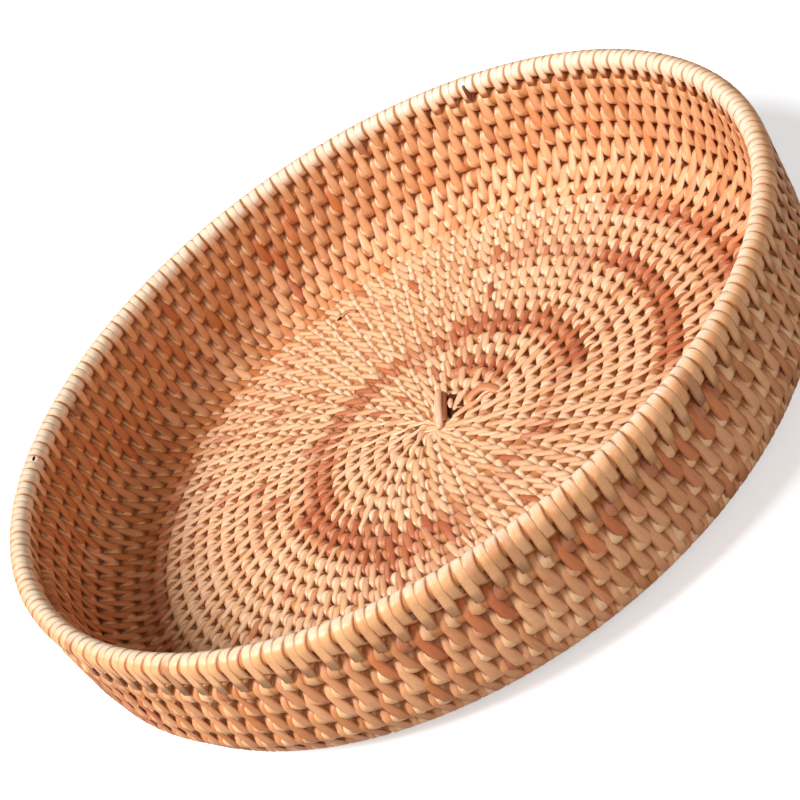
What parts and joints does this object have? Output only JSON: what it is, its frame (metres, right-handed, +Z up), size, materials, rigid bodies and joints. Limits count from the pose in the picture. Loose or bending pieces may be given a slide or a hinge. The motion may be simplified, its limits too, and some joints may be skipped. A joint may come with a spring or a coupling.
{
  "type": "coiled basket tray",
  "caption": "Shallow round coiled rattan tray with a flat floor, a low upright wall and a bound rim, for sorting, airing or carrying dry goods.",
  "frame": {"origin": "middle of the round floor, on the table top", "axes": "+Z up along the axis of the round tray, +X through the wall, +Y away from the camera of the reference picture"},
  "size_m": [0.2464, 0.2463, 0.0485],
  "materials": {
    "rattan_core": "matte peeled rattan",
    "pale_cane": "split cane, satin",
    "stitch_cane": "split cane, satin, some strips orange-brown",
    "rim_cane": "split cane, satin, worn smooth",
    "dark_strip": "dark stained cane",
    "start_cane": "split cane, satin"
  },
  "bodies": {
    "root": {"centre_core": "rattan_core", "floor_core": "rattan_core", "corner_core": "rattan_core", "wall_core": "rattan_core", "core_tail": "rattan_core", "rim_core": "rattan_core", "centre_short_wraps": "pale_cane", "centre_long_stitches": "stitch_cane", "middle_short_wraps": "pale_cane", "middle_long_stitches": "stitch_cane", "outer_short_wraps": "pale_cane", "outer_long_stitches": "stitch_cane", "corner_short_wraps": "pale_cane", "corner_long_stitches": "stitch_cane", "wall_short_wraps": "pale_cane", "wall_long_stitches": "stitch_cane", "rim_short_wraps": "rim_cane", "rim_long_stitches": "rim_cane", "rim_joint_wrap": "dark_strip", "start_loop": "start_cane", "start_tail": "start_cane"}
  },
  "joints": []
}
